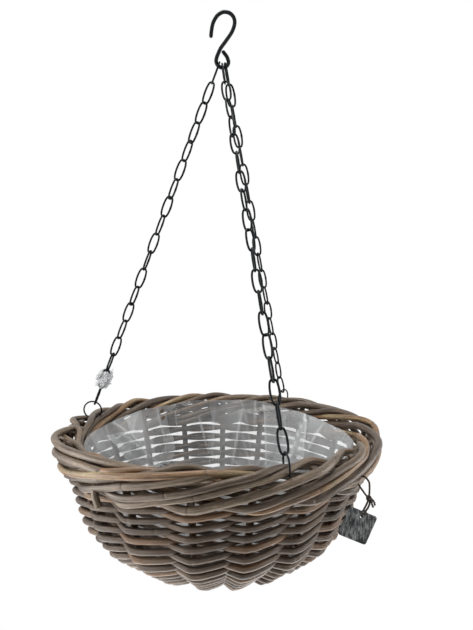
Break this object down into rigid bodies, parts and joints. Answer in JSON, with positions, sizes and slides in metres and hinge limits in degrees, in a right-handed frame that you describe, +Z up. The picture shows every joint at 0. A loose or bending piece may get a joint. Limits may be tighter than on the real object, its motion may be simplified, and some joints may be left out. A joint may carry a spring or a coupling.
{
  "type": "hanging planter",
  "caption": "Hanging woven rattan bowl with a rolled border and clear liner, held by link chains from an open hook.",
  "frame": {"origin": "inside of the hook's crown, where the planter is held", "axes": "+Z up along the hanging line, -Y towards the viewer of the picture, +X to the viewer's right"},
  "size_m": [0.3487, 0.3478, 0.588],
  "materials": {
    "rattan": "matt, weathered",
    "border_rattan": "satin, weathered",
    "black_wire": "semi-gloss black",
    "clear_film": "clear, creased",
    "dark_twine": "matt",
    "tag_metal": "matt black"
  },
  "bodies": {
    "hook": {"hook": "black_wire"},
    "basket": {"stake_rod_across_1": "rattan", "stake_rod_across_2": "rattan", "stake_rod_across_3": "rattan", "stake_rod_across_4": "rattan", "stake_rod_across_5": "rattan", "stake_rod_along_1": "rattan", "stake_rod_along_2": "rattan", "stake_rod_along_3": "rattan", "stake_rod_along_4": "rattan", "base_weaver_1": "rattan", "base_weaver_2": "rattan", "base_tie": "rattan", "wall_weaver_01": "rattan", "wall_weaver_02": "rattan", "wall_weaver_03": "rattan", "wall_weaver_04": "rattan", "wall_weaver_05": "rattan", "wall_weaver_06": "rattan", "wall_weaver_07": "rattan", "wall_weaver_08": "rattan", "wall_weaver_09": "rattan", "wall_weaver_10": "rattan", "wall_weaver_11": "rattan", "wall_weaver_12": "rattan", "border_rod_1": "border_rattan", "border_rod_2": "border_rattan", "border_rod_3": "border_rattan", "border_rod_4": "border_rattan", "border_rod_5": "border_rattan", "border_rod_6": "border_rattan", "liner_film": "clear_film", "chain_left_run_1": "black_wire", "chain_left_run_6": "black_wire", "chain_front_run_1": "black_wire", "chain_front_run_6": "black_wire", "chain_back_run_1": "black_wire", "chain_back_run_6": "black_wire", "chain_wrap": "clear_film"},
    "chain_left": {"chain_left_run_2": "black_wire", "chain_left_run_3": "black_wire", "chain_left_run_4": "black_wire", "chain_left_run_5": "black_wire"},
    "ring_left": {"rim_ring_left": "black_wire"},
    "chain_front": {"chain_front_run_2": "black_wire", "chain_front_run_3": "black_wire", "chain_front_run_4": "black_wire", "chain_front_run_5": "black_wire"},
    "ring_front": {"rim_ring_front": "black_wire"},
    "chain_back": {"chain_back_run_2": "black_wire", "chain_back_run_3": "black_wire", "chain_back_run_4": "black_wire", "chain_back_run_5": "black_wire"},
    "ring_back": {"rim_ring_back": "black_wire"},
    "tag": {"tag_plate": "tag_metal", "tag_twine": "dark_twine"}
  },
  "joints": [
    {"name": "basket_swing", "type": "hinge", "parent": "hook", "child": "basket", "pos_m": [0, 0, -0.05495], "axis": [1, 0, 0], "range_deg": [-20, 20]},
    {"name": "chain_left_twist", "type": "hinge", "parent": "basket", "child": "chain_left", "pos_m": [-0.07714, 0.02914, -0.24324], "axis": [0.355, -0.1459, 0.9234], "range_deg": [-15, 15]},
    {"name": "ring_left_turn", "type": "hinge", "parent": "basket", "child": "ring_left", "pos_m": [-0.1501, 0.05913, -0.43304], "axis": [-0.0524, -0.9893, -0.1362], "range_deg": [-30, 30]},
    {"name": "chain_front_twist", "type": "hinge", "parent": "basket", "child": "chain_front", "pos_m": [0.02875, -0.0754, -0.24399], "axis": [-0.1382, 0.3672, 0.9198], "range_deg": [-15, 15]},
    {"name": "ring_front_turn", "type": "hinge", "parent": "basket", "child": "ring_front", "pos_m": [0.05716, -0.15086, -0.43304], "axis": [0.9826, 0.1674, 0.0808], "range_deg": [-30, 30]},
    {"name": "chain_back_twist", "type": "hinge", "parent": "basket", "child": "chain_back", "pos_m": [0.04331, 0.0695, -0.24347], "axis": [-0.1935, -0.3347, 0.9223], "range_deg": [-15, 15]},
    {"name": "ring_back_turn", "type": "hinge", "parent": "basket", "child": "ring_back", "pos_m": [0.08309, 0.13828, -0.43304], "axis": [-0.7409, 0.666, 0.0862], "range_deg": [-30, 30]},
    {"name": "tag_swing", "type": "hinge", "parent": "basket", "child": "tag", "pos_m": [0.1328, -0.0983, -0.4602], "axis": [-0.595, -0.8038, 0], "range_deg": [0, 35]}
  ]
}
